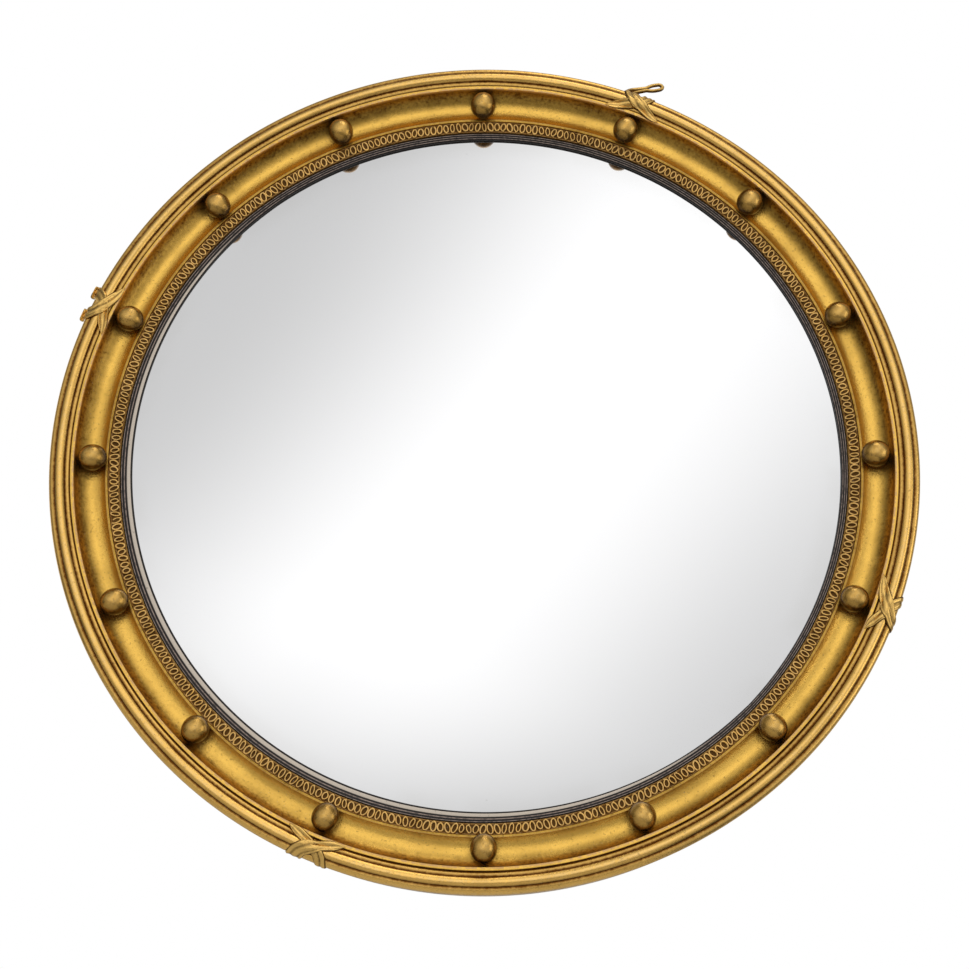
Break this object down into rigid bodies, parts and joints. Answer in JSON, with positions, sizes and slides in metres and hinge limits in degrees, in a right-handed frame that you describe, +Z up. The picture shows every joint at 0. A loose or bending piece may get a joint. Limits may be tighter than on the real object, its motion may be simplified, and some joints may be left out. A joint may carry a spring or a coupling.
{
  "type": "convex butlers mirror",
  "caption": "Round convex wall mirror in a deep gilt ring with balls in the cove, a reeded border tied with crossed ribbons and a dark slip round the domed glass.",
  "frame": {"origin": "centre of the mirror's round back, on the wall plane", "axes": "+Z up towards the top ribbon tie, -Y out of the wall towards the viewer, +X to the viewer's right"},
  "size_m": [0.6177, 0.0611, 0.6302],
  "materials": {
    "gilt_wood": "antique gilding, satin, rubbed on the edges",
    "gilt_composition": "moulded composition under antique gilding",
    "bronzed_balls": "turned wood, darker burnished gilding",
    "ebonised_wood": "ebonised, soft sheen",
    "silvered_glass": "polished glass, silvered on the back",
    "pine": "plain planed pine",
    "steel": "cut steel, dull",
    "brass": "aged brass"
  },
  "bodies": {
    "mirror": {"frame_ring": "gilt_wood", "reeded_border": "gilt_wood", "loop_moulding": "gilt_composition", "slip": "ebonised_wood", "glass": "silvered_glass", "glass_blocks": "pine", "ball_01": "bronzed_balls", "ball_02": "bronzed_balls", "ball_03": "bronzed_balls", "ball_04": "bronzed_balls", "ball_05": "bronzed_balls", "ball_06": "bronzed_balls", "ball_07": "bronzed_balls", "ball_08": "bronzed_balls", "ball_09": "bronzed_balls", "ball_10": "bronzed_balls", "ball_11": "bronzed_balls", "ball_12": "bronzed_balls", "ball_13": "bronzed_balls", "ball_14": "bronzed_balls", "ball_15": "bronzed_balls", "ball_16": "bronzed_balls", "ball_brads": "steel", "ribbon_tie_top": "gilt_composition", "ribbon_tie_right": "gilt_composition", "ribbon_tie_bottom": "gilt_composition", "ribbon_tie_left": "gilt_composition", "ribbon_loop": "gilt_composition", "backboard_left": "pine", "backboard_middle": "pine", "backboard_right": "pine", "backboard_nails": "steel", "hanging_plate": "brass", "plate_nails": "steel"},
    "ring": {"hanging_ring": "brass"}
  },
  "joints": [
    {"name": "ring_swing", "type": "hinge", "parent": "mirror", "child": "ring", "pos_m": [0, -0.0056, 0.2785], "axis": [1, 0, 0], "range_deg": [0, 180]}
  ]
}
